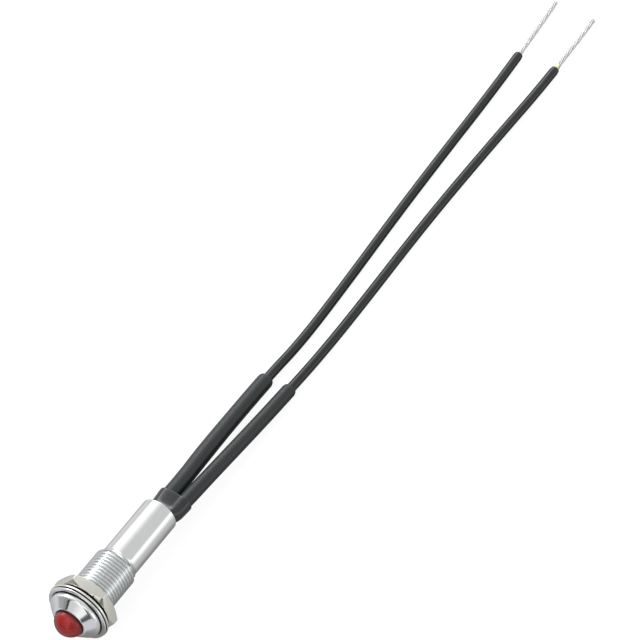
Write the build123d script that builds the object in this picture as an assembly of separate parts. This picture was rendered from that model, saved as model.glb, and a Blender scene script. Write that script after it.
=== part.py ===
from build123d import *
import math
import os

# Neon indicator lamp for a panel hole. All lengths are millimetres.
# The lamp's axis is Y: the lens looks along -Y and the leads run to +Y, with +Z up.
# The origin is on the axis, at the flange's rear face, which seats on the panel.

os.makedirs("parts", exist_ok=True)

# Neon bulb
BULB_R = 3.0
BULB_NECK_Y = 8.6         # where the glass starts to close towards its pinch
BULB_NECK_R = 1.9
PINCH_Y = 10.2            # start of the flat pinch
PINCH_LENGTH = 1.7
PINCH_WIDTH = 4.4
PINCH_T = 1.5
BULB_WIRE_R = 0.25
BULB_GAP = 0.05           # between the bulb's nose and the lens collar

# Housing, turned from one bar
BULB_PLAY = 0.35          # round the bulb in the bore
BARREL_WALL = 0.45
THREAD_R = 4.5            # M9 thread, drawn plain at its outside diameter
THREAD_PITCH = 0.75
THREAD_END = 12.4
TAPER_LENGTH = 1.1        # chamfer from the thread down to the barrel
BARREL_END = 27.4
BARREL_EDGE = 0.15
NOSE = 2.85               # how far the bezel stands ahead of its seating face
LIP_OVERLAP = 0.2         # lip that holds the lens collar
LIP_LAND = 0.65           # flat ring round the lens
LIP_T = 0.5
RIM_R = 5.5               # widest part of the conical bezel
RIM_BAND = 0.9
RIM_ROUND = 0.85
FLANGE_R = 6.45
FLANGE_T = 0.42
FLANGE_BEVEL = 0.08

# Lens
LENS_PLAY = 0.15          # between the lens and the lip's hole
LENS_FLANK_DEG = 39.4     # between the lens's flank and its axis
LENS_TIP_R = 2.44         # its rounded tip
LENS_TIP_AHEAD = 0.374    # how far the tip's centre lies ahead of the lip
LENS_SHOULDER_ROUND = 0.9
LENS_WALL = 0.6
LENS_BORE_AHEAD = 0.7     # how far its bore reaches ahead of the lip
COLLAR_PLAY = 0.04
COLLAR_T = 1.0

# Washer and nut
WASHER_R = 6.6
WASHER_T = 0.8
WASHER_PLAY = 0.15
WASHER_BEVEL = 0.1
NUT_FLATS = 12.0
NUT_T = 3.0
NUT_FACE_R = 5.7          # flat ring left on each face by the chamfer
NUT_CHAMFER_DEG = 30.0
NUT_ROLL_DEG = 49.0       # from +X up to the nearest corner
NUT_PLAY = 0.015          # in the engaged thread

# Leads, their sleeves, and what lies inside them
SHRINK_WALL = 0.26
SHRINK_PLAY = 0.2         # round the thicker wire sleeve at its rim
SHRINK_FLARE = 0.08       # from its waist to its rim
SHRINK_SQUEEZE = 0.93     # how far it keeps inside the bore where it leaves the barrel
# x and z of its section's middle, and the distance between the section's end circles
SHRINK_NECK = (0.10, -0.50, 1.30)
SHRINK_WAIST = (0.04, -1.12, 2.90)
SHRINK_RIM = (-0.10, -1.46, 3.10)
LEAD_R = 1.025
CORE_R = 0.52
CORE_PLAY = 0.01
LEFT_SLEEVE_R = 1.7
LEFT_SLEEVE_WALL = 0.5
RIGHT_SLEEVE_R = 1.5
RIGHT_SLEEVE_WALL = 0.42
SLEEVE_BEVEL = 0.25
WIRE_TUBE_WALL = 0.25
WIRE_TUBE_PLAY = 0.03
JOINT_R = 0.8
RESISTOR_R = 1.1
RESISTOR_WAIST_R = 0.95
RESISTOR_CAP = 1.3
RESISTOR_BEVEL = 0.3
RESISTOR_WIRE_R = 0.3

# Stations along Y
SHRINK_START = 13.0
SHRINK_REACH = 5.6        # behind the barrel's end
SLEEVE_GAP = 3.0          # from the barrel's end to the wire sleeves
WAIST_GAP = 2.2           # from the barrel's end to the rear sleeve's waist
LEFT_SLEEVE_END = 69.8
RIGHT_SLEEVE_END = 70.3
WIRE_TUBE_START = 12.4
WIRE_TUBE_END = 31.6
RESISTOR_JOINT = (33.0, 36.4)
RESISTOR_BODY = (43.2, 49.2)
LEFT_JOINT = (54.0, 58.0)
RIGHT_JOINT = (33.0, 37.0)
LEFT_CORE_START = 58.0
RIGHT_CORE_START = 37.0
LEFT_INSULATION_START = 60.0
RIGHT_INSULATION_START = 39.0
LEFT_INSULATION_END = 176.25
RIGHT_INSULATION_END = 176.55

# Centre lines, as points joined by straight runs with rounded corners
LEFT_BULB_WIRE = ((-1.1, 11.9, 0.0), (-1.488, 33.0, -1.466))
RIGHT_BULB_WIRE = ((1.1, 11.9, 0.0), (1.761, 33.0, -1.475))
LEFT_ROUTE = [
    (-1.45, 24.5, -0.66),
    (-1.50, 36.0, -1.75),
    (-2.42, 48.0, -2.88),
    (-3.20, 70.4, -4.93),
    (-2.81, 81.9, -5.567),
    (-3.35, 98.4, -5.567),
    (-5.07, 130.9, -5.567),
    (-6.19, 173.3, -5.567),
    (-7.95, 194.6, -5.567),
]
RIGHT_ROUTE = [
    (1.72, 24.5, -0.62),
    (1.78, 35.9, -1.76),
    (2.13, 58.0, -3.95),
    (2.16, 69.8, -5.07),
    (2.35, 80.4, -5.567),
    (2.32, 94.9, -5.567),
    (1.55, 123.9, -5.567),
    (1.81, 149.9, -5.567),
    (2.45, 174.7, -5.567),
    (1.76, 194.1, -5.567),
]

# Sizes that follow from the ones above
BORE_R = BULB_R + BULB_PLAY
BARREL_R = BORE_R + BARREL_WALL
LIP_R = BORE_R - LIP_OVERLAP
LENS_R = LIP_R - LENS_PLAY
PITCH_R = THREAD_R - 0.3248 * THREAD_PITCH
ROOT_R = THREAD_R - 0.5413 * THREAD_PITCH
LIP_BACK = LIP_T - NOSE
SHRINK_END = BARREL_END + SHRINK_REACH
SLEEVE_START = BARREL_END + SLEEVE_GAP
COLLAR_BACK = LIP_BACK + COLLAR_T
NUT_REAR = WASHER_T + NUT_T


def turned(points, rounds=(), bevels=()):
    """Revolve a (radius, y) outline about Y, easing the corners named as (point, size)."""
    face = make_face(Polyline(*points, close=True))
    for ease, corners in ((fillet, rounds), (chamfer, bevels)):
        for corner, size in corners:
            spot = Vector(*corner)
            near = [v for v in face.vertices() if (Vector(*v) - spot).length < 1e-4]
            face = ease(near, size)
    return revolve(face, Axis.Y)


def rounded_path(points):
    """Straight runs joined by tangent arcs, each arc as large as its two runs allow."""
    knots = [Vector(*point) for point in points]
    radii = []
    for before, here, after in zip(knots, knots[1:], knots[2:]):
        turn = math.radians((here - before).get_angle(after - here))
        shorter = min((here - before).length, (after - here).length)
        radii.append(0.45 * shorter / math.tan(turn / 2))
    print("radii", [round(radius, 1) for radius in radii])
    return Wire(FilletPolyline(*knots, radius=radii).edges())


def station(path, y):
    """The path's parameter where it reaches y; y grows all along it."""
    low, high = 0.0, 1.0
    for _ in range(40):
        middle = (low + high) / 2
        if (path @ middle).Y < y:
            low = middle
        else:
            high = middle
    return (low + high) / 2


def stretch(path, start, end):
    """The part of a path between two stations along Y."""
    return path.trim(station(path, start), station(path, end))


def across(path, sketch):
    """The sketch, set square to the path at its start."""
    return Plane(path @ 0, z_dir=path % 0) * sketch


def rod(path, radius):
    return sweep(across(path, Circle(radius)), path=path)


def tube(path, outer, inner):
    return sweep(across(path, Circle(outer) - Circle(inner)), path=path)


def housing():
    nose = (LIP_R + LIP_LAND, -NOSE)
    rim = (RIM_R, -FLANGE_T - RIM_BAND)
    flange_front = (FLANGE_R, -FLANGE_T)
    flange_rear = (FLANGE_R, 0)
    outline = [
        (LIP_R, -NOSE),
        nose,
        rim,
        (RIM_R, -FLANGE_T),
        flange_front,
        flange_rear,
        (ROOT_R, 0),
        (ROOT_R, WASHER_T),
        (PITCH_R, WASHER_T),
        (PITCH_R, NUT_REAR),
        (THREAD_R, NUT_REAR),
        (THREAD_R, THREAD_END),
        (BARREL_R, THREAD_END + TAPER_LENGTH),
        (BARREL_R, BARREL_END - BARREL_EDGE),
        (BARREL_R - BARREL_EDGE, BARREL_END),
        (BORE_R, BARREL_END),
        (BORE_R, LIP_BACK),
        (LIP_R, LIP_BACK),
    ]
    bevels = [(flange_front, FLANGE_BEVEL), (flange_rear, FLANGE_BEVEL)]
    return turned(outline, [(rim, RIM_ROUND)], bevels)


def lens():
    """A rounded, slightly conical cap with a plain bore, and a collar behind the housing's lip."""
    inner = LENS_R - LENS_WALL
    bore_end = -NOSE - LENS_BORE_AHEAD
    collar_r = BORE_R - COLLAR_PLAY
    flank = math.radians(LENS_FLANK_DEG)
    tip_centre = -NOSE - LENS_TIP_AHEAD

    def on_tip(angle):
        return (LENS_TIP_R * math.cos(angle), tip_centre - LENS_TIP_R * math.sin(angle))

    tip = (0, tip_centre - LENS_TIP_R)
    flank_end = on_tip(flank)
    shoulder = (LENS_R, flank_end[1] + (LENS_R - flank_end[0]) / math.tan(flank))
    outline = ThreePointArc(tip, on_tip((flank + math.pi / 2) / 2), flank_end)
    outline += Polyline(
        flank_end,
        shoulder,
        (LENS_R, LIP_BACK),
        (collar_r, LIP_BACK),
        (collar_r, COLLAR_BACK),
        (inner, COLLAR_BACK),
        (inner, bore_end),
        (0, bore_end),
        tip,
    )
    face = make_face(outline)
    spot = Vector(*shoulder)
    corner = [v for v in face.vertices() if (Vector(*v) - spot).length < 1e-4]
    return revolve(fillet(corner, LENS_SHOULDER_ROUND), Axis.Y)


def washer():
    inner = THREAD_R + WASHER_PLAY
    front, rear = (WASHER_R, 0), (WASHER_R, WASHER_T)
    outline = [(inner, 0), front, rear, (inner, WASHER_T)]
    return turned(outline, bevels=[(front, WASHER_BEVEL), (rear, WASHER_BEVEL)])


def hex_nut():
    corner_r = NUT_FLATS / 2 / math.cos(math.radians(30))
    drop = (corner_r - NUT_FACE_R) * math.tan(math.radians(NUT_CHAMFER_DEG))
    hexagon = RegularPolygon(corner_r, 6, rotation=NUT_ROLL_DEG)
    prism = extrude(Plane.XZ.offset(-WASHER_T) * hexagon, -NUT_T)
    chamfers = turned(
        [
            (PITCH_R + NUT_PLAY, WASHER_T),
            (NUT_FACE_R, WASHER_T),
            (corner_r, WASHER_T + drop),
            (corner_r, NUT_REAR - drop),
            (NUT_FACE_R, NUT_REAR),
            (PITCH_R + NUT_PLAY, NUT_REAR),
        ]
    )
    return prism & chamfers


def neon_bulb():
    """Round-nosed glass tube, closed at the rear by a flat pinch."""
    seat_r = LENS_R - LENS_WALL
    centre = COLLAR_BACK + BULB_GAP + math.sqrt(BULB_R**2 - seat_r**2)
    slope = math.sqrt(0.5)
    outline = ThreePointArc(
        (0, centre - BULB_R),
        (BULB_R * slope, centre - BULB_R * slope),
        (BULB_R, centre),
    )
    outline += Polyline(
        (BULB_R, centre),
        (BULB_R, BULB_NECK_Y),
        (BULB_NECK_R, PINCH_Y),
        (0, PINCH_Y),
        (0, centre - BULB_R),
    )
    glass = revolve(make_face(outline), Axis.Y)
    pinch = extrude(
        Plane.XZ.offset(0.6 - PINCH_Y) * RectangleRounded(PINCH_WIDTH, PINCH_T, 0.6),
        -PINCH_LENGTH - 0.6,
    )
    return glass + pinch


def shrink_section(y, x, z, apart, height):
    """A round-ended slot across the lamp, its end circles that far apart."""
    slot = SlotCenterToCenter(apart, height)
    return Plane((x, y, z), x_dir=(1, 0, 0), z_dir=(0, -1, 0)) * slot


def shrink_body(shrunk):
    """The rear sleeve's form, drawn in by a wall thickness or not."""
    rim_r = LEFT_SLEEVE_R + SHRINK_PLAY + SHRINK_WALL
    stations = [
        (BARREL_END, *SHRINK_NECK, BORE_R - SHRINK_SQUEEZE),
        (BARREL_END + WAIST_GAP, *SHRINK_WAIST, rim_r - SHRINK_FLARE),
        (SHRINK_END, *SHRINK_RIM, rim_r),
    ]
    faces = []
    for y, x, z, apart, radius in stations:
        faces.append(shrink_section(y, x, z, apart, 2 * (radius - shrunk)))
    return loft(faces) + extrude(faces[0], BARREL_END - SHRINK_START)


def rear_shrink_sleeve():
    return shrink_body(0) - shrink_body(SHRINK_WALL)


def wire_sleeve(path, outer, wall):
    sleeve = tube(path, outer, outer - wall)
    rims = [e for e in sleeve.edges().filter_by(GeomType.CIRCLE) if abs(e.radius - outer) < 1e-6]
    ends = [e for e in rims if min((e.arc_center - path @ t).length for t in (0, 1)) < 1e-3]
    return chamfer(ends, SLEEVE_BEVEL)


def straight_rod(start, end, radius):
    start, end = Vector(*start), Vector(*end)
    return extrude(Plane(start, z_dir=end - start) * Circle(radius), (end - start).length)


def solder_joint(path):
    """Two lapped wires and the solder round them."""
    return straight_rod(path @ 0, path @ 1, JOINT_R)


def series_resistor(path):
    """Ballast resistor: a waisted body with a wire from each end."""
    start, end = RESISTOR_BODY
    front = path @ station(path, start)
    rear = path @ station(path, end)
    length = (rear - front).length
    caps = [(RESISTOR_R, 0), (RESISTOR_R, RESISTOR_CAP)]
    waist = [(RESISTOR_WAIST_R, RESISTOR_CAP + 0.2), (RESISTOR_WAIST_R, length - RESISTOR_CAP - 0.2)]
    tail = [(RESISTOR_R, length - RESISTOR_CAP), (RESISTOR_R, length)]
    body = turned(
        [(0, 0), *caps, *waist, *tail, (0, length)],
        bevels=[(caps[0], RESISTOR_BEVEL), (tail[1], RESISTOR_BEVEL)],
    )
    body = Plane(front, z_dir=rear - front) * Rot(90, 0, 0) * body
    lap = path @ station(path, RESISTOR_JOINT[1])
    tail_end = path @ station(path, LEFT_JOINT[0])
    body += straight_rod(lap, front, RESISTOR_WIRE_R)
    return body + straight_rod(rear, tail_end, RESISTOR_WIRE_R)


def save(name, shape):
    solids = shape.solids()
    print(name, len(solids), "solid,", round(sum(s.volume for s in solids), 3), "mm3")
    one = solids[0]
    one.label = name
    export_step(one, f"parts/{name}.step")


left = rounded_path(LEFT_ROUTE)
right = rounded_path(RIGHT_ROUTE)
wire_tube_bore = BULB_WIRE_R + WIRE_TUBE_PLAY
wire_tube_r = wire_tube_bore + WIRE_TUBE_WALL

save("bezel_housing", housing())
save("lens", lens())
save("washer", washer())
save("hex_nut", hex_nut())
save("neon_bulb", neon_bulb())
for side, ends in (("left", LEFT_BULB_WIRE), ("right", RIGHT_BULB_WIRE)):
    wire = Line(*ends)
    save(f"{side}_bulb_wire", rod(wire, BULB_WIRE_R))
    covered = stretch(wire, WIRE_TUBE_START, WIRE_TUBE_END)
    save(f"{side}_bulb_wire_tube", tube(covered, wire_tube_r, wire_tube_bore))
save("series_resistor", series_resistor(left))
save("resistor_solder_joint", solder_joint(stretch(left, *RESISTOR_JOINT)))
save("left_solder_joint", solder_joint(stretch(left, *LEFT_JOINT)))
save("right_solder_joint", solder_joint(stretch(right, *RIGHT_JOINT)))
save("rear_shrink_sleeve", rear_shrink_sleeve())
save(
    "left_wire_sleeve",
    wire_sleeve(stretch(left, SLEEVE_START, LEFT_SLEEVE_END), LEFT_SLEEVE_R, LEFT_SLEEVE_WALL),
)
save(
    "right_wire_sleeve",
    wire_sleeve(stretch(right, SLEEVE_START, RIGHT_SLEEVE_END), RIGHT_SLEEVE_R, RIGHT_SLEEVE_WALL),
)
leads = (
    ("left", left, LEFT_CORE_START, LEFT_INSULATION_START, LEFT_INSULATION_END),
    ("right", right, RIGHT_CORE_START, RIGHT_INSULATION_START, RIGHT_INSULATION_END),
)
for side, path, core_start, cover_start, cover_end in leads:
    tip = (path @ 1).Y
    core = stretch(path, core_start, tip)
    cover = stretch(path, cover_start, cover_end)
    print(side, "core", round(core.length, 1), "insulation", round(cover.length, 1), "mm long")
    save(f"{side}_lead_conductor", rod(core, CORE_R))
    save(f"{side}_lead_insulation", tube(cover, LEAD_R, CORE_R + CORE_PLAY))
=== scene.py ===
import math
import bmesh
import bpy
from mathutils import Matrix, Vector


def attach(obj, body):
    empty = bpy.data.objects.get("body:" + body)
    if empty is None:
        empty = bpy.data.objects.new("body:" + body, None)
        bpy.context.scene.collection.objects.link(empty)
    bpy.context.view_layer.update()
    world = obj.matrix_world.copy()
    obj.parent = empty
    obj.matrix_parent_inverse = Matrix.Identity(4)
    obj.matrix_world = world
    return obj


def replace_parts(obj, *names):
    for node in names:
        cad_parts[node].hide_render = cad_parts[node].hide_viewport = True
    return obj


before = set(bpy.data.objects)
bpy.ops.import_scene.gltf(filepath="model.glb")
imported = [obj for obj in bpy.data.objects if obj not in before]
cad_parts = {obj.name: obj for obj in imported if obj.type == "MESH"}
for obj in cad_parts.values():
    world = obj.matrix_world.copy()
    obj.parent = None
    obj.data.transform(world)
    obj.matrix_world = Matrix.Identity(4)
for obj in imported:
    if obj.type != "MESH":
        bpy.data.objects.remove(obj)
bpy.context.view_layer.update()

scene = bpy.context.scene
MM = 0.001
TURN = 2 * math.pi

# Sizes of the lamp in millimetres; its axis is Y, with the lens at -Y.
THREAD_R = 4.5
ROOT_R = 4.04
PITCH = 0.75
NUT_FRONT = 0.8
NUT_REAR = 3.8
NUT_FLATS = 12.0
NUT_ROLL = 49.0           # degrees from +X up to the nearest corner
THREAD_END = 12.4
BARREL_R = 3.8
BORE_R = 3.35
BARREL_END = 27.4
LENS_R = 3.0
LIP_REAR = -2.35           # where the bezel's lip ends and the lens's collar begins
FLOOR = -6.6

# Where the parts of the leads start and end along Y, and their size, in metres
SLEEVE_START = 0.0304
LEFT_SLEEVE_END = 0.0698
RIGHT_SLEEVE_END = 0.0703
LEFT_COVER_START = 0.060
RIGHT_COVER_START = 0.039
LEFT_COVER_END = 0.17625
RIGHT_COVER_END = 0.17655
FILM_START = 0.17640
FILM_END = 0.17815
LEAD_R = 0.001025

# The leads' centre lines, in metres
LEFT_ROUTE = [
    (-0.00145, 0.0245, -0.00066),
    (-0.00150, 0.0360, -0.00175),
    (-0.00242, 0.0480, -0.00288),
    (-0.00320, 0.0704, -0.00493),
    (-0.00281, 0.0819, -0.005567),
    (-0.00335, 0.0984, -0.005567),
    (-0.00507, 0.1309, -0.005567),
    (-0.00619, 0.1733, -0.005567),
    (-0.00795, 0.1946, -0.005567),
]
RIGHT_ROUTE = [
    (0.00172, 0.0245, -0.00062),
    (0.00178, 0.0359, -0.00176),
    (0.00213, 0.0580, -0.00395),
    (0.00216, 0.0698, -0.00507),
    (0.00235, 0.0804, -0.005567),
    (0.00232, 0.0949, -0.005567),
    (0.00155, 0.1239, -0.005567),
    (0.00181, 0.1499, -0.005567),
    (0.00245, 0.1747, -0.005567),
    (0.00176, 0.1941, -0.005567),
]


# ---------------------------------------------------------------- finishes

class Value:
    """What a node gives out. Arithmetic on it adds Math nodes."""

    def __init__(self, graph, socket):
        self.graph = graph
        self.socket = socket

    def math(self, operation, *values):
        """A Math node on these values."""
        return self.graph.node("ShaderNodeMath", {"operation": operation}, *values)

    def __add__(self, other):
        return self.math("ADD", self, other)

    def __sub__(self, other):
        return self.math("SUBTRACT", self, other)

    def __rsub__(self, other):
        return self.math("SUBTRACT", other, self)

    def __mul__(self, other):
        return self.math("MULTIPLY", self, other)

    def __truediv__(self, other):
        return self.math("DIVIDE", self, other)

    def __neg__(self):
        return self.math("SUBTRACT", 0.0, self)

    def __abs__(self):
        return self.math("ABSOLUTE", self)

    __radd__ = __add__
    __rmul__ = __mul__

    def rise(self, low, high):
        """0 below low, 1 above high, and smooth between; low may be the larger."""
        settings = {"interpolation_type": "SMOOTHSTEP"}
        return self.graph.node("ShaderNodeMapRange", settings, self, low, high, 0.0, 1.0)

    def within(self, low, high, soft):
        """1 between low and high, fading out over soft on each side."""
        return self.rise(low - soft, low + soft) * self.rise(high + soft, high - soft)


class Graph:
    """The nodes of a material or of the world."""

    def __init__(self, owner):
        owner.use_nodes = True
        self.tree = owner.node_tree
        self.tree.nodes.clear()

    def node(self, kind, settings, *values, output=0):
        """Add a node: its settings, then what goes into its inputs in their order."""
        node = self.tree.nodes.new(kind)
        for key, value in settings.items():
            setattr(node, key, value)
        self.feed(node, dict(enumerate(values)))
        return Value(self, node.outputs[output]) if node.outputs else node

    def feed(self, node, values):
        """Link or set a node's inputs; None leaves an input as it is."""
        for key, value in values.items():
            if isinstance(value, Value):
                self.tree.links.new(value.socket, node.inputs[key])
            elif value is not None:
                node.inputs[key].default_value = value

    def blend(self, factor, first, second):
        """From the first colour to the second."""
        pair = [c if isinstance(c, Value) else (*c, 1) for c in (first, second)]
        settings = {"data_type": "RGBA"}
        return self.node("ShaderNodeMix", settings, factor, *[None] * 5, *pair, output=2)

    def split(self, vector):
        """The vector's x, y and z."""
        node = self.node("ShaderNodeSeparateXYZ", {}, vector)
        return [Value(self, socket) for socket in node.socket.node.outputs]


class Finish(Graph):
    """A material on one surface shader."""

    def __init__(self, name, **settings):
        self.material = bpy.data.materials.new(name)
        super().__init__(self.material)
        self.shader = self.node("ShaderNodeBsdfPrincipled", {})
        self.node("ShaderNodeOutputMaterial", {}, self.shader)
        self.set(**settings)

    def set(self, **named):
        """Feed the shader's inputs by name, with underscores for spaces."""
        inputs = {key.replace("_", " "): value for key, value in named.items()}
        self.feed(self.shader.socket.node, inputs)

    def spot(self, stretch=(1, 1, 1)):
        """Object coordinates in millimetres, stretched along the axes."""
        place = self.node("ShaderNodeTexCoord", {}, output=3)
        scale = [1000 * k for k in stretch]
        return self.node("ShaderNodeVectorMath", {"operation": "MULTIPLY"}, place, scale)

    def noise(self, size, detail=2.0, stretch=(1, 1, 1)):
        """Soft noise from 0 to 1, with features of about that size in millimetres."""
        return self.node("ShaderNodeTexNoise", {}, self.spot(stretch), None, 1 / size, detail)

    def turned_lines(self, width):
        """Fine lines round the lamp's axis, as a lathe tool leaves."""
        return self.noise(width, 3.0, (0.02, 1, 0.02))

    def bump(self, height, depth):
        """Raise the surface by up to depth millimetres."""
        self.set(Normal=self.node("ShaderNodeBump", {}, 1.0, depth * MM, None, height))


def metal(name, dull, bright, roughness, spread, line_depth, painted_shade=None):
    """Plated metal with faint turning lines; the last argument, a function of (radius, x, y), is 1
    where shade is painted black into a crevice.
    """
    # near-black colour of the painted shade in crevices
    crevice = (0.025, 0.025, 0.022)
    finish = Finish(name, Metallic=1.0)
    film = finish.noise(2.2, 3.0)
    colour = finish.blend(film, dull, bright)
    rough = film * spread + finish.turned_lines(0.12) * spread + (roughness - spread)
    # Painted shade: the colour is blended towards near-black in crevices, which are also made
    # rougher.
    if painted_shade:
        x, y, z = finish.split(finish.spot())
        radius = x.math("SQRT", x * x + z * z)
        black = painted_shade(radius, x, y)
        colour = finish.blend(black, colour, crevice)
        rough = rough + 0.5 * black
    finish.set(Base_Color=colour, Roughness=rough)
    finish.bump(finish.turned_lines(0.09), line_depth)
    return finish.material


def flange_painted_shade(radius, x, y):
    """Painted shade: black in the groove at the shoulder's foot and in the slit behind the flange,
    the slit paler to the left.
    """
    groove = y.within(-0.59, 0.3, 0.01) * radius.within(5.0, 5.47, 0.02)
    groove = groove + y.within(-0.40, 0.3, 0.02) * radius.within(5.50, 5.68, 0.02)
    slit = y.within(-0.11, 0.3, 0.01) * radius.within(5.7, 6.7, 0.02)
    return groove * 0.85 + slit * (0.1 + 0.9 * x.rise(-5.0, -2.2))


def washer_painted_shade(radius, x, y):
    """Painted shade: black in the slits beside the washer's rim, paler to the left."""
    rear = y.rise(0.485, 0.505) * radius.rise(6.25, 6.10)
    front = y.rise(0.115, 0.10) * radius.rise(6.50, 6.42)
    return (rear + front) * (0.1 + 0.9 * x.rise(-5.0, -2.2))


def nut_painted_shade(radius, x, y):
    """Painted shade: black round the boss in front of the nut, paler to the left."""
    boss = y.rise(1.36, 1.28) * radius.rise(6.05, 5.97)
    return boss * (0.25 + 0.75 * x.rise(-5.0, -1.5))


def black_sleeving(name, dull, bright, roughness, grain, depth):
    """Black plastic, clouded along the leads, with a fine grain of that size and depth."""
    finish = Finish(name, Specular_IOR_Level=0.5)
    cloud = finish.noise(3.0, 4.0, (1, 0.35, 1))
    fine = finish.noise(grain, 2.0, (1, 0.5, 1))
    finish.set(Base_Color=finish.blend(cloud, dull, bright))
    finish.set(Roughness=fine * 0.16 + cloud * 0.1 + (roughness - 0.13))
    finish.bump(fine + cloud * 0.5, depth)
    return finish.material


def plain(name, dull, bright, roughness, size=0.6, **settings):
    """A surface that varies between two colours in spots of that size."""
    finish = Finish(name, **settings)
    grain = finish.noise(size, 3.0)
    finish.set(Base_Color=finish.blend(grain, dull, bright))
    finish.set(Roughness=grain * 0.15 + (roughness - 0.07))
    return finish.material


def red_moulding():
    """Translucent red, with painted shade at its rim where it is seen edge-on, and where it sinks
    into the bezel.
    """
    finish = Finish("red_lens", IOR=1.49, Subsurface_Weight=0.25, Subsurface_Scale=0.6 * MM,
                    Subsurface_Radius=(1.0, 0.08, 0.06))
    cloud = finish.noise(1.6, 2.0)
    # Painted shade towards the back, where the lens sinks into the bezel's hole.
    depth = finish.split(finish.spot())[1].rise(-3.9, -2.9)
    # Painted shade on the rim: darker where the surface is seen edge-on.
    rim = finish.node("ShaderNodeLayerWeight", {}, 0.5, output=1).rise(0.45, 0.80)
    body = finish.blend(cloud, (0.31, 0.012, 0.012), (0.38, 0.020, 0.018))
    body = finish.blend(rim * 0.8, body, (0.07, 0.006, 0.010))
    finish.set(Base_Color=finish.blend(depth * 0.9, body, (0.05, 0.004, 0.004)))
    finish.set(Roughness=cloud * 0.12 + 0.20)
    finish.bump(finish.noise(0.35, 2.0), 0.003)
    return finish.material


chrome = metal("chrome_plate", (0.775, 0.785, 0.777), (0.835, 0.84, 0.833),
               0.12, 0.03, 0.0008, flange_painted_shade)
thread_chrome = metal("thread_plate", (0.62, 0.64, 0.64), (0.70, 0.72, 0.72), 0.14, 0.02, 0.0001)
nickel = metal("nickel_plate", (0.70, 0.69, 0.625), (0.79, 0.78, 0.715),
               0.20, 0.04, 0.0010, nut_painted_shade)
zinc = metal("zinc_plate", (0.80, 0.79, 0.70), (0.90, 0.89, 0.81),
             0.22, 0.05, 0.0015, washer_painted_shade)
strands = metal("tinned_copper", (0.62, 0.62, 0.61), (0.90, 0.90, 0.89), 0.27, 0.05, 0.001)
red_lens = red_moulding()
shrink = black_sleeving("shrink_sleeve", (0.010, 0.0125, 0.013), (0.024, 0.029, 0.030),
                        0.16, 0.16, 0.007)
tubing = black_sleeving("wire_sleeve", (0.010, 0.0125, 0.0125), (0.019, 0.023, 0.023),
                        0.44, 0.13, 0.008)
cover = black_sleeving("lead_insulation", (0.0075, 0.009, 0.0095), (0.014, 0.017, 0.017),
                       0.22, 0.10, 0.004)
glass = plain("bulb_glass", (0.78, 0.80, 0.79), (0.86, 0.88, 0.87), 0.08, 2.0,
              Transmission_Weight=0.85, IOR=1.47)
bare_wire = plain("bare_wire", (0.50, 0.49, 0.47), (0.66, 0.65, 0.63), 0.32, 0.3, Metallic=1.0)
solder = plain("solder", (0.46, 0.47, 0.48), (0.62, 0.63, 0.64), 0.36, 0.5, Metallic=1.0)
pale_tube = plain("pale_tubing", (0.60, 0.58, 0.52), (0.70, 0.68, 0.62), 0.55, 0.5)
torn_film = plain("torn_film", (0.62, 0.66, 0.40), (0.80, 0.82, 0.58), 0.45, 0.3)
ceramic = plain("resistor_body", (0.50, 0.39, 0.25), (0.60, 0.48, 0.32), 0.45, 0.4)


# ---------------------------------------------------------------- modelling

def finish_piece(name, bm, material, sharp=35):
    """Turn a bmesh drawn in millimetres into an object that rides with the lamp."""
    bmesh.ops.scale(bm, vec=(MM, MM, MM), verts=bm.verts)
    bmesh.ops.recalc_face_normals(bm, faces=bm.faces)
    mesh = bpy.data.meshes.new(name)
    bm.to_mesh(mesh)
    bm.free()
    return show(name, mesh, material, sharp)


def show(name, mesh, material, sharp=35):
    """Put a mesh in the scene; edges over `sharp` degrees stay crisp."""
    mesh.shade_smooth()
    mesh.set_sharp_from_angle(angle=math.radians(sharp))
    mesh.materials.clear()
    mesh.materials.append(material)
    piece = bpy.data.objects.new(name, mesh)
    scene.collection.objects.link(piece)
    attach(piece, "root")
    return piece


def spin_outline(bm, outline, steps):
    """Spin a closed outline of (radius, y, rounding) corners once round the axis."""
    corners = [bm.verts.new((radius, y, 0)) for radius, y, _ in outline]
    for pair in zip(corners, corners[1:] + corners[:1]):
        bm.edges.new(pair)
    for corner, (_, _, rounding) in zip(corners, outline):
        if rounding:
            bmesh.ops.bevel(bm, geom=[corner], offset=rounding, offset_type="OFFSET",
                            segments=4, profile=0.5, affect="VERTICES", material=-1)
    bmesh.ops.spin(bm, geom=bm.verts[:] + bm.edges[:], cent=(0, 0, 0), axis=(0, 1, 0),
                   dvec=(0, 0, 0), angle=TURN, steps=steps, use_merge=True,
                   use_duplicate=False)
    bmesh.ops.remove_doubles(bm, verts=bm.verts, dist=1e-4)


def housing():
    """The turned body, its shank cut to the thread's root.

    The two corners along the cone are in line with its ends: they keep its shading straight.
    """
    bm = bmesh.new()
    lip_r, front = 3.15, -2.98
    shoulder_r, groove_r, flange_r, hub_r = 5.5, 5.35, 6.45, 4.9
    groove_floor, flange_front, flange_rear = -0.25, -0.42, -0.12
    shank_r = ROOT_R - 0.03
    spin_outline(bm, [
        (lip_r, front, 0.04), (3.65, front, 0.08), (3.80, -2.8454, 0), (5.12, -1.6610, 0),
        (shoulder_r, -1.32, 0.38), (shoulder_r, -0.61, 0.03), (groove_r, -0.58, 0),
        (groove_r, groove_floor, 0), (5.66, groove_floor, 0), (5.68, flange_front, 0.04),
        (flange_r, flange_front, 0.12), (flange_r, flange_rear, 0.10), (hub_r, flange_rear, 0),
        (hub_r, 0.0, 0), (4.1, 0.0, 0), (shank_r, NUT_FRONT, 0), (shank_r, 13.10, 0),
        (BARREL_R, 13.5, 0.25), (BARREL_R, BARREL_END, 0.16), (BORE_R, BARREL_END, 0.08),
        (BORE_R, LIP_REAR, 0), (lip_r, LIP_REAR, 0.04),
    ], 160)
    return finish_piece("housing", bm, chrome, 40)


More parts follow.
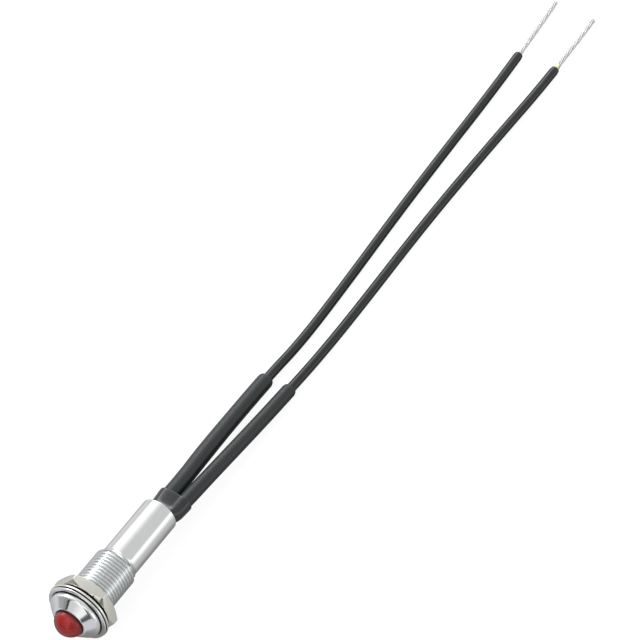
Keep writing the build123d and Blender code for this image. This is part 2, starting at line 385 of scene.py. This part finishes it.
def thread():
    """A right-hand ridge wound along the shank, cut back at its end by the chamfer."""
    bm = bmesh.new()
    half = PITCH / 2 - 0.001  # a hair short, so that neighbouring turns share no wall
    foot_r = ROOT_R - 0.02
    floor_r = THREAD_R - 0.36
    edge_r = THREAD_R - 0.04
    section = [(foot_r, -half), (floor_r, -half), (floor_r + 0.01, -0.355),
               (floor_r + 0.05, -0.330), (edge_r, -0.172), (THREAD_R, -0.135),
               (THREAD_R, 0.135), (edge_r, 0.172), (floor_r + 0.05, 0.330),
               (floor_r + 0.01, 0.355), (floor_r, half), (foot_r, half)]
    start = NUT_REAR - 2.2 * PITCH
    turns, steps = 14, 72
    chamfer = 0.636
    ring = [bm.verts.new((radius, start + y, 0)) for radius, y in section]
    face = bm.faces.new(ring)
    bmesh.ops.spin(bm, geom=[face], cent=(0, 0, 0), axis=(0, 1, 0), dvec=(0, PITCH / steps, 0),
                   angle=TURN * turns, steps=steps * turns, use_merge=False, use_duplicate=False)
    for vert in bm.verts:
        radius = math.hypot(vert.co.x, vert.co.z)
        limit = max(THREAD_R - chamfer * (vert.co.y - THREAD_END), ROOT_R - 0.1)
        if radius > limit:
            vert.co.x *= limit / radius
            vert.co.z *= limit / radius
    return finish_piece("thread", bm, thread_chrome, 50)


def nut():
    """A hexagon with a narrow boss in front and both faces chamfered."""
    bm = bmesh.new()
    boss_r, face_r, rim_r = 5.45, 5.7, 7.5
    bore_r = THREAD_R + 0.02
    sink, worn, rounding = 0.22, 0.05, 0.08
    front = NUT_FRONT + 0.16
    middle = (NUT_FRONT + NUT_REAR) / 2
    slope = math.tan(math.radians(30))
    spin_outline(bm, [
        (bore_r, NUT_FRONT + sink, 0), (bore_r + sink, NUT_FRONT, 0), (boss_r, NUT_FRONT, 0),
        (boss_r, front, 0), (face_r, front, 0), (rim_r, front, 0), (rim_r, NUT_REAR, 0),
        (face_r, NUT_REAR, 0), (bore_r + sink, NUT_REAR, 0), (bore_r, NUT_REAR - sink, 0),
    ], 180)
    for vert in bm.verts:
        x, y, z = vert.co
        if math.hypot(x, z) > face_r + 0.5:
            angle = math.atan2(z, x)
            off = math.degrees(angle) % 60 - 30
            radius = NUT_FLATS / 2 / math.cos(math.radians(off)) - worn * (off / 30) ** 2
            drop = radius - face_r
            y = front + drop if y < middle else NUT_REAR - drop * slope
            vert.co = (radius * math.cos(angle), y, radius * math.sin(angle))
    bmesh.ops.dissolve_limit(bm, angle_limit=math.radians(0.5), verts=bm.verts, edges=bm.edges)
    hexagon = [e for e in bm.edges if e.calc_face_angle(0) > math.radians(25)
               and min(math.hypot(v.co.x, v.co.z) for v in e.verts) > face_r + 0.1]
    bmesh.ops.bevel(bm, geom=hexagon, offset=rounding, offset_type="OFFSET", segments=3,
                    profile=0.5, affect="EDGES", material=-1, clamp_overlap=True)
    roll = Matrix.Rotation(-math.radians(NUT_ROLL), 3, "Y")
    bmesh.ops.rotate(bm, verts=bm.verts, cent=(0, 0, 0), matrix=roll)
    return finish_piece("nut", bm, nickel, 25)


def washer():
    """Stepped at both faces, so that a dark slit shows on each side of its rim."""
    bm = bmesh.new()
    bore_r, front_r, rim_r, rear_r = 4.65, 6.05, 6.6, 6.0
    rim_front, rim_rear = 0.10, 0.53
    spin_outline(bm, [
        (bore_r, 0.0, 0.05), (front_r, 0.0, 0), (front_r, rim_front, 0), (rim_r, rim_front, 0.12),
        (rim_r, rim_rear, 0.16), (rear_r, rim_rear, 0), (rear_r, NUT_FRONT, 0),
        (bore_r, NUT_FRONT, 0.05),
    ], 160)
    return finish_piece("plain_washer", bm, zinc, 40)


def lens_cap():
    """A full, slightly conical dome, and the collar behind the bezel's lip."""
    bm = bmesh.new()
    start, apex, steps = -3.3, -5.664, 24
    collar_r, collar_end = 3.31, -1.35
    hollow_r, hollow_end = 2.4, -3.55
    outline = []
    for step in range(steps + 1):
        part = 1 - (step / steps) ** 1.6
        outline.append((LENS_R * (1 - part ** 1.6) ** 0.574, start + (apex - start) * part, 0))
    outline += [(LENS_R, LIP_REAR, 0), (collar_r, LIP_REAR, 0), (collar_r, collar_end, 0),
                (hollow_r, collar_end, 0), (hollow_r, hollow_end, 0), (0, hollow_end, 0)]
    spin_outline(bm, outline, 96)
    return finish_piece("lens_cap", bm, red_lens, 40)


def clamp(value, low=0.0):
    return max(low, min(1.0, value))


def rear_sleeve():
    """A tube that closes the barrel and is drawn down over both wire sleeves.

    Each station is its y, the middle's x and z, how far apart its two lobes are, and their radius.
    """
    stations = [
        (24.0, 0.10, -0.50, 1.30, 2.42), (26.6, 0.10, -0.50, 1.30, 2.38),
        (27.5, 0.10, -0.52, 1.32, 2.32), (28.3, 0.10, -0.72, 1.81, 2.19),
        (29.1, 0.10, -1.00, 2.50, 2.08), (29.9, 0.09, -1.15, 2.81, 2.06),
        (31.2, 0.03, -1.30, 2.91, 2.10), (32.3, -0.02, -1.40, 2.97, 2.14),
        (32.80, -0.04, -1.445, 2.98, 2.155), (32.96, -0.04, -1.458, 2.98, 2.13),
        (33.0, -0.04, -1.46, 2.98, 2.08),
    ]
    wall, lobe_r, lobes_from = 0.24, 2.08, 29
    inner = []
    for y, x, z, apart, radius in reversed(stations):
        inner_r = min(radius, lobe_r) if y > lobes_from else radius
        inner.append((y, x, z, apart, inner_r - wall))
    bm = bmesh.new()
    upright = Matrix.Rotation(math.pi / 2, 3, "X")
    loops = []
    for y, x, z, apart, radius in stations + inner:
        circle = bmesh.ops.create_circle(bm, cap_ends=False, segments=144, radius=radius)
        ring = circle["verts"]
        bmesh.ops.rotate(bm, verts=ring, cent=(0, 0, 0), matrix=upright)
        for vert in ring:
            vert.co.x += clamp(vert.co.x / (0.35 * radius), -1.0) * apart / 2
            # lower over the right lobe than over the left
            down = 0.124 * clamp((vert.co.x + 1.3) / 2.4)
            down -= 0.080 * clamp((vert.co.x - 1.1) / 0.75)
            vert.co.z *= 1 - down * clamp((y - 28.3) / 2.5)
        bmesh.ops.translate(bm, verts=ring, vec=(x, y, z))
        loops.append(list({edge for vert in ring for edge in vert.link_edges}))
    for near, far in zip(loops, loops[1:] + loops[:1]):
        bmesh.ops.bridge_loops(bm, edges=near + far)
    return finish_piece("rear_sleeve", bm, shrink, 50)


def route_points(route):
    """Points read from the smooth line through a lead's route, in metres."""
    curve = bpy.data.curves.new("route", "CURVE")
    curve.dimensions = "3D"
    spline = curve.splines.new("NURBS")
    spline.points.add(len(route) - 1)
    for point, spot in zip(spline.points, route):
        point.co = (*spot, 1)
    spline.order_u = 3
    spline.use_endpoint_u = True
    spline.resolution_u = 40
    carrier = bpy.data.objects.new("route", curve)
    mesh = bpy.data.meshes.new_from_object(carrier)
    points = [vert.co.copy() for vert in mesh.vertices]
    bpy.data.objects.remove(carrier)
    bpy.data.meshes.remove(mesh)
    bpy.data.curves.remove(curve)
    return points


def between(points, start, end, gap=0.0006):
    """The stretch of a line from one y to another, evenly spaced, in metres."""
    def at(y):
        for a, b in zip(points, points[1:]):
            if a.y <= y <= b.y:
                return a.lerp(b, (y - a.y) / (b.y - a.y))
        return points[-1].copy()
    count = max(2, round((end - start) / gap))
    return [at(start + (end - start) * k / count) for k in range(count + 1)]


def tube_mesh(name, lines, radii, sides=10):
    """Round tubes along lines of points in metres, with a radius in metres at each point."""
    curve = bpy.data.curves.new(name, "CURVE")
    curve.dimensions = "3D"
    curve.bevel_depth = 1.0
    curve.bevel_resolution = sides
    curve.use_fill_caps = True
    for line, widths in zip(lines, radii):
        spline = curve.splines.new("POLY")
        spline.points.add(len(line) - 1)
        for point, spot, width in zip(spline.points, line, widths):
            point.co = (*spot, 1)
            point.radius = width
    carrier = bpy.data.objects.new(name, curve)
    mesh = bpy.data.meshes.new_from_object(carrier)
    bpy.data.objects.remove(carrier)
    bpy.data.curves.remove(curve)
    bm = bmesh.new()
    bm.from_mesh(mesh)
    bmesh.ops.remove_doubles(bm, verts=bm.verts, dist=1e-7)
    bmesh.ops.recalc_face_normals(bm, faces=bm.faces)
    bm.to_mesh(mesh)
    bm.free()
    return mesh


def wire_sleeve(name, points, start, end, radius, swell):
    """A cut length of sleeving: shouldered ends, and a little wider over what it covers."""
    shoulder, narrowing = 0.0006, 0.10
    centre, reach, amount = swell
    line = between(points, start, end, 0.0005)
    widths = []
    for spot in line:
        left = min(spot.y - start, end - spot.y)
        width = radius * (1 - narrowing * max(0.0, 1 - left / shoulder) ** 2)
        width += amount * MM * math.exp(-((spot.y / MM - centre) / reach) ** 2)
        widths.append(width)
    return show(name, tube_mesh(name, [line], [widths], 12), tubing, 45)


def lead_cover(name, points, start, end, radius):
    """A lead's black cover, a little narrower where it is cut; also gives its centre line."""
    cut, narrowing = 0.0003, 0.12
    line = between(points, start, end, 0.0008)
    widths = [radius * (1 - narrowing * max(0.0, 1 - (end - spot.y) / cut)) for spot in line]
    mesh = tube_mesh(name, [line], [widths], 10)
    return show(name, mesh, cover, 45), line


def stripped_end(name, points, start, twist):
    """Seven strands, six twisted round the middle one, a little loose at the tip.

    The strands make one turn in `twist` millimetres.
    """
    thick, orbit = 0.162 * MM, 0.355 * MM
    line = between(points, start - 0.001, points[-1].y, 0.0004)
    lines = [line]
    for strand in range(6):
        winding = []
        for spot in line:
            along = (spot.y - start) / MM
            angle = TURN * (strand / 6 + along / twist)
            loose = 1 + 0.10 * max(0.0, (along - 15) / 3)
            reach = orbit * min(loose, 1.02)
            winding.append(spot + Vector((reach * math.cos(angle), 0, reach * math.sin(angle))))
        lines.append(winding)
    radii = [[thick] * len(line) for line in lines]
    return show(name, tube_mesh(name, lines, radii, 4), strands, 60)


def torn_end(name, points, start, end):
    """A scrap of film round the strands, narrowing to its tip."""
    line = between(points, start, end, 0.0002)
    last = len(line) - 1
    widths = [(0.84 - 0.34 * (k / last) ** 0.7) * MM for k in range(last + 1)]
    return show(name, tube_mesh(name, [line], [widths], 8), torn_film, 45)


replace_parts(housing(), "bezel_housing")
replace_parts(thread(), "bezel_housing")
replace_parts(nut(), "hex_nut")
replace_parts(washer(), "washer")
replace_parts(lens_cap(), "lens")
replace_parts(rear_sleeve(), "rear_shrink_sleeve")

left_points = route_points(LEFT_ROUTE)
right_points = route_points(RIGHT_ROUTE)
left_sleeve = wire_sleeve("left_sleeve", left_points, SLEEVE_START, LEFT_SLEEVE_END,
                          0.0017, (46, 6, 0.05))
right_sleeve = wire_sleeve("right_sleeve", right_points, SLEEVE_START, RIGHT_SLEEVE_END,
                           0.0015, (36, 4, 0.03))
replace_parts(left_sleeve, "left_wire_sleeve")
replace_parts(right_sleeve, "right_wire_sleeve")
left_cover, left_line = lead_cover("left_lead", left_points, LEFT_COVER_START,
                                   LEFT_COVER_END, LEAD_R)
right_cover, right_line = lead_cover("right_lead", right_points, RIGHT_COVER_START,
                                     RIGHT_COVER_END, LEAD_R)
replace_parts(left_cover, "left_lead_insulation")
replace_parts(right_cover, "right_lead_insulation")
left_strands = stripped_end("left_strands", left_points, LEFT_COVER_END, 15.0)
right_strands = stripped_end("right_strands", right_points, RIGHT_COVER_END, 14.0)
film = torn_end("torn_film", right_points, FILM_START, FILM_END)
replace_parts(film, "right_lead_insulation")
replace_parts(left_strands, "left_lead_conductor")
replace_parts(right_strands, "right_lead_conductor")

for node, material in (
    ("neon_bulb", glass), ("left_bulb_wire", bare_wire), ("right_bulb_wire", bare_wire),
    ("left_bulb_wire_tube", pale_tube), ("right_bulb_wire_tube", pale_tube),
    ("series_resistor", ceramic), ("resistor_solder_joint", solder),
    ("left_solder_joint", solder), ("right_solder_joint", solder),
):
    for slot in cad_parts[node].material_slots:
        slot.material = material


# ---------------------------------------------------------------- floor, light and camera

def floor():
    """Pale paper: white to the eye, with the lamp's own shadow.

    In reflections it glows: dimmer near the lamp as a painted shadow, flat in front of the head,
    and far in front it shows a painted wall.
    """
    bm = bmesh.new()
    bmesh.ops.create_grid(bm, x_segments=1, y_segments=1, size=3.0)
    bmesh.ops.translate(bm, verts=bm.verts, vec=(0, 0, (FLOOR - 0.01) * MM))
    mesh = bpy.data.meshes.new("floor")
    bm.to_mesh(mesh)
    bm.free()
    finish = Finish("floor_paper", Base_Color=(0.14, 0.14, 0.14, 1), Roughness=0.9)
    x, y, _ = finish.split(finish.spot())
    aside = abs(x)
    # Painted shadow: in reflections the floor glows dimmer near the lamp.
    near = 0.25 + 0.33 * aside.rise(3.0, 14.0) + 0.25 * aside.rise(10.0, 45.0)
    near = near + 0.17 * x.rise(30.0, 70.0)
    before = y.rise(-5.0, -8.0)
    far = y.rise(-40.0, -48.0)
    # Painted reflection: the floor's glow, seen only in reflections.
    seen = near * (1 - before) + 0.74 * before * (1 - far) + wall_level(x / -y) * far
    tint = finish.blend(before, (0.99, 0.99, 0.99), (0.95, 0.965, 1.03))
    rays = finish.node("ShaderNodeLightPath", {}).socket.node.outputs
    eye = Value(finish, rays["Is Camera Ray"])
    mirror = Value(finish, rays["Is Glossy Ray"])
    glow = finish.node("ShaderNodeEmission", {}, tint, eye * 0.92 + mirror * seen)
    dim = finish.node("ShaderNodeMixShader", {}, mirror, finish.shader, None)
    both = finish.node("ShaderNodeAddShader", {}, dim, glow)
    out = next(node for node in finish.tree.nodes if node.type == "OUTPUT_MATERIAL")
    finish.feed(out, {0: both})
    mesh.materials.append(finish.material)
    ground = bpy.data.objects.new("floor", mesh)
    scene.collection.objects.link(ground)


def softbox(name, place, size, power):
    """A soft light aimed at the middle of the leads, unseen in reflections."""
    lamp = bpy.data.lights.new(name, "AREA")
    lamp.shape = "RECTANGLE"
    lamp.size, lamp.size_y = size
    lamp.energy = power
    holder = bpy.data.objects.new(name, lamp)
    holder.location = place
    holder.visible_glossy = False
    aim = Vector((0, 0.05, 0)) - Vector(place)
    holder.rotation_euler = aim.to_track_quat("-Z", "Y").to_euler()
    scene.collection.objects.link(holder)


def wall_level(across, low=1.0):
    """Brightness ahead of the lamp: a white wall with dark edges, and a dark foot on its left.

    `low` is 1 at the wall's foot and 0 above it.
    """
    wall = across.within(-0.55, 0.50, 0.025)
    edge = 0.46 * across.within(-0.72, -0.56, 0.03) + 0.35 * across.within(0.51, 0.92, 0.05)
    edge = edge + 0.13 * across.rise(-1.40, -0.76) * across.rise(-0.68, -0.74)
    foot = across.within(-0.55, 0.08, 0.05) * low
    return 0.46 + wall * (0.30 + 0.38 * across.rise(-0.25, 0.35)) - edge - 0.60 * foot


def surroundings():
    """A pale studio: bright overhead to the left and in front, with a white wall ahead."""
    world = bpy.data.worlds.new("studio")
    scene.world = world
    sky = Graph(world)
    x, y, z = sky.split(sky.node("ShaderNodeTexCoord", {}, output=0))
    degrees = x.math("ARCTAN2", x, z) * (180 / math.pi)
    panel = 0.8 * degrees.rise(-82.0, -52.0) * degrees.rise(9.0, -50.0)
    strip = 3.6 * degrees.within(-57.0, -44.0, 6.0)
    behind = 0.72 + panel + strip + 0.9 * degrees.rise(64.0, 84.0)
    card = y.within(-0.30, 0.15, 0.05) * abs(x).rise(0.70, 0.90)
    overhead = z.rise(0.50, 0.75) * (0.30 + 0.55 * x.rise(0.15, 0.45))
    front = wall_level(x / -y, z.rise(0.16, 0.08)) + overhead
    ahead = y.rise(-0.05, -0.35)
    mirror = front * ahead + behind * (1 - ahead) + 0.45 * card
    rays = sky.node("ShaderNodeLightPath", {}).socket.node.outputs
    glossy = Value(sky, rays["Is Glossy Ray"])
    level = mirror * glossy + 0.42 * (1 - glossy)
    shade = sky.node("ShaderNodeBackground", {}, (0.985, 0.99, 1.0, 1), level)
    sky.node("ShaderNodeOutputWorld", {}, shade)


def camera():
    """A long lens looking down on the lamp from its right, in front."""
    place = (0.25094, -0.31387, 0.54542)
    turn, tilt = math.radians(32.174), math.radians(49.158)
    view = bpy.data.cameras.new("camera")
    view.sensor_width = 36
    view.lens = 202.5
    view.clip_end = 10
    holder = bpy.data.objects.new("camera", view)
    right = Vector((math.cos(turn), math.sin(turn), 0))
    back = Vector((math.sin(turn) * math.cos(tilt), -math.cos(turn) * math.cos(tilt),
                   math.sin(tilt)))
    facing = Matrix((right, back.cross(right), back)).transposed().to_4x4()
    holder.matrix_world = Matrix.Translation(place) @ facing
    scene.collection.objects.link(holder)
    scene.camera = holder


floor()
surroundings()
softbox("upper_left", (-0.45, 0.45, 0.75), (0.55, 0.8), 11)
softbox("front", (0.1, -0.8, 0.6), (0.5, 0.4), 4)
camera()
scene.view_settings.view_transform = "Standard"
